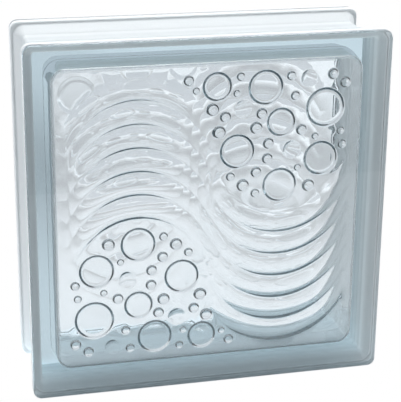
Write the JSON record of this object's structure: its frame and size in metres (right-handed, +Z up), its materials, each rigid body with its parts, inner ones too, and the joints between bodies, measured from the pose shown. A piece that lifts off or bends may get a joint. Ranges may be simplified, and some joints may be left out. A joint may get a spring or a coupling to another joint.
{
  "type": "glass block",
  "caption": "Square hollow clear glass building block with a rim round each face, mortar channels on its edges and a pressed wave and bubble relief inside both faces.",
  "frame": {"origin": "middle of the underside, midway between the faces, on the surface the block stands on", "axes": "+X along the width, +Y from the front face to the rear face, +Z up"},
  "size_m": [0.24, 0.08, 0.24],
  "materials": {
    "clear_glass": "clear pressed glass with a faint blue-green tint"
  },
  "bodies": {
    "root": {"glass_block": "clear_glass"}
  },
  "joints": []
}
